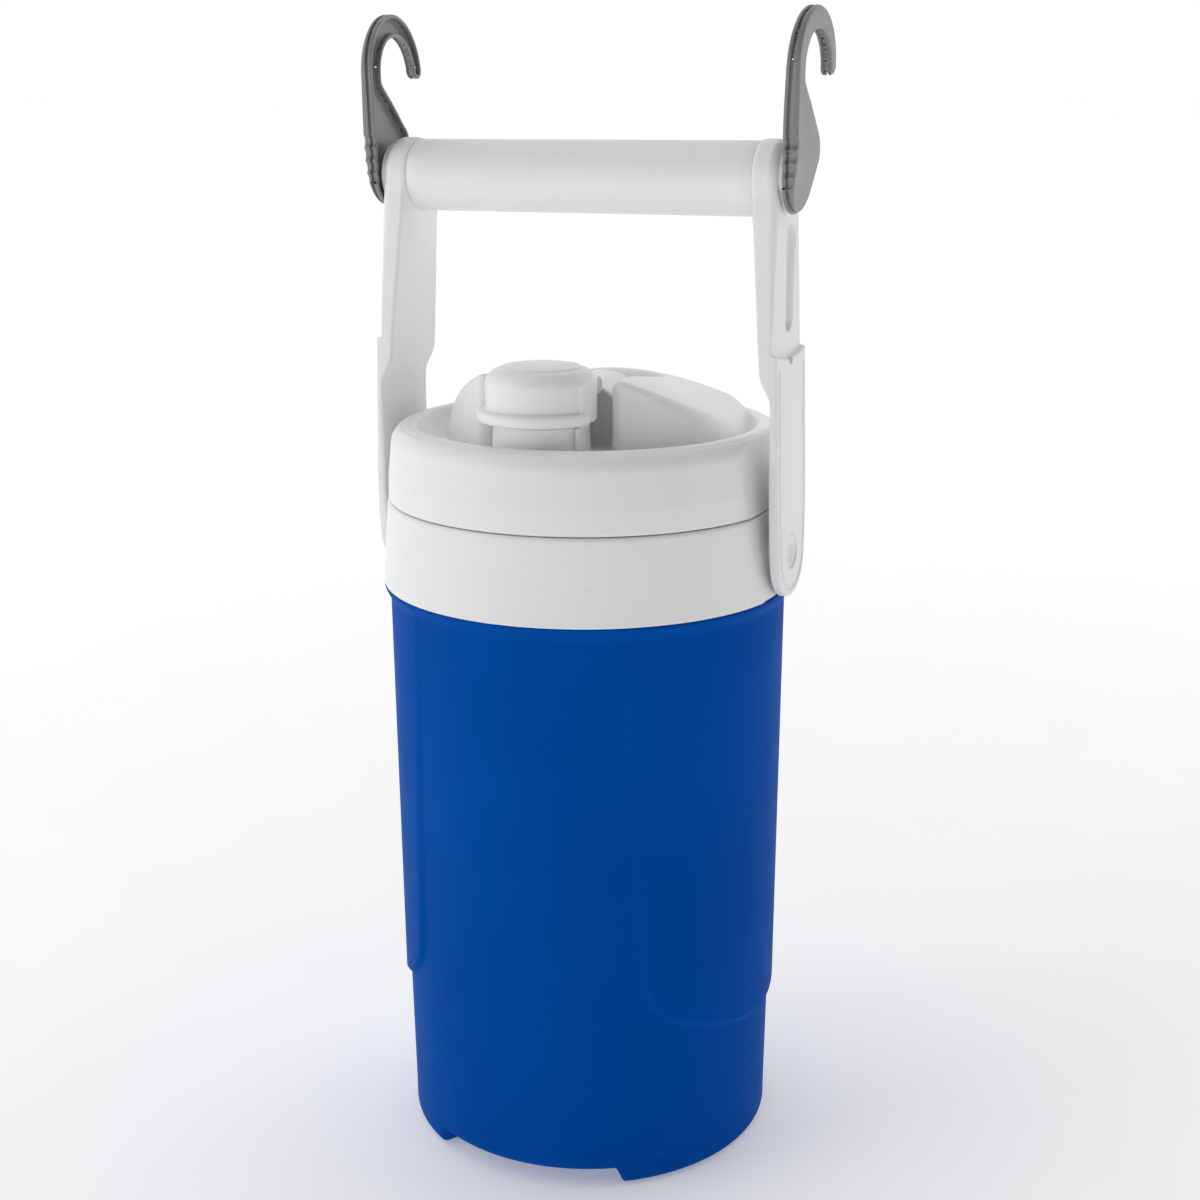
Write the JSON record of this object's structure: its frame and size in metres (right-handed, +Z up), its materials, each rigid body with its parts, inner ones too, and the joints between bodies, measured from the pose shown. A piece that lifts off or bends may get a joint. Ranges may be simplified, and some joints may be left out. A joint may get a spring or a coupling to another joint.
{
  "type": "insulated water jug",
  "caption": "Insulated jug with screw lid, flip-up spout cap, swinging bail handle and fold-out hanging hooks.",
  "frame": {"origin": "centre of the base, on the surface the jug stands on", "axes": "+Z up, -Y towards the spout at the front, +X to the jug's left as it faces you"},
  "size_m": [0.1672, 0.152, 0.4201],
  "materials": {
    "blue_plastic": "satin",
    "white_plastic": "satin",
    "grey_plastic": "satin",
    "foam": "matt",
    "seal_rubber": "matt"
  },
  "bodies": {
    "jug_body": {"outer_shell": "blue_plastic", "foam_jacket": "foam", "inner_liner": "white_plastic", "collar": "white_plastic", "base_plug": "blue_plastic"},
    "lid_seal": {"lid_gasket": "seal_rubber"},
    "lid": {"lid_shell": "white_plastic", "lid_foam": "foam", "lid_plug": "white_plastic", "spout_nozzle": "white_plastic", "nozzle_seal": "seal_rubber", "cap_hinge_pin": "white_plastic"},
    "flip_cap": {"spout_cap": "white_plastic", "cap_seal": "seal_rubber"},
    "handle": {"right_arm": "white_plastic", "left_arm": "white_plastic", "grip_sleeve": "white_plastic", "right_pivot_pin": "white_plastic", "left_pivot_pin": "white_plastic"},
    "hook_right": {"right_hook": "grey_plastic"},
    "hook_left": {"left_hook": "grey_plastic"}
  },
  "joints": [
    {"name": "lid_rise", "type": "slide", "parent": "jug_body", "child": "lid_seal", "axis": [0, 0, 1], "range_m": [0, 0.006]},
    {"name": "lid_turn", "type": "hinge", "parent": "lid_seal", "child": "lid", "pos_m": [0, 0, 0.262], "axis": [0, 0, 1], "range_deg": [0, 180]},
    {"name": "cap_flip", "type": "hinge", "parent": "lid", "child": "flip_cap", "pos_m": [0, -0.013, 0.291], "axis": [-1, 0, 0], "range_deg": [0, 125]},
    {"name": "handle_swing", "type": "hinge", "parent": "jug_body", "child": "handle", "pos_m": [0, 0, 0.233], "axis": [1, 0, 0], "range_deg": [-136, 136]},
    {"name": "right_hook_fold", "type": "hinge", "parent": "handle", "child": "hook_right", "pos_m": [0, 0, 0.3632], "axis": [1, 0, 0], "range_deg": [0, 180]},
    {"name": "left_hook_fold", "type": "hinge", "parent": "handle", "child": "hook_left", "pos_m": [0, 0, 0.3632], "axis": [1, 0, 0], "range_deg": [0, 180]}
  ],
  "couplings": [
    {"joint": "lid_rise", "follows": "lid_turn", "m_per_rad": 0.0019099}
  ]
}
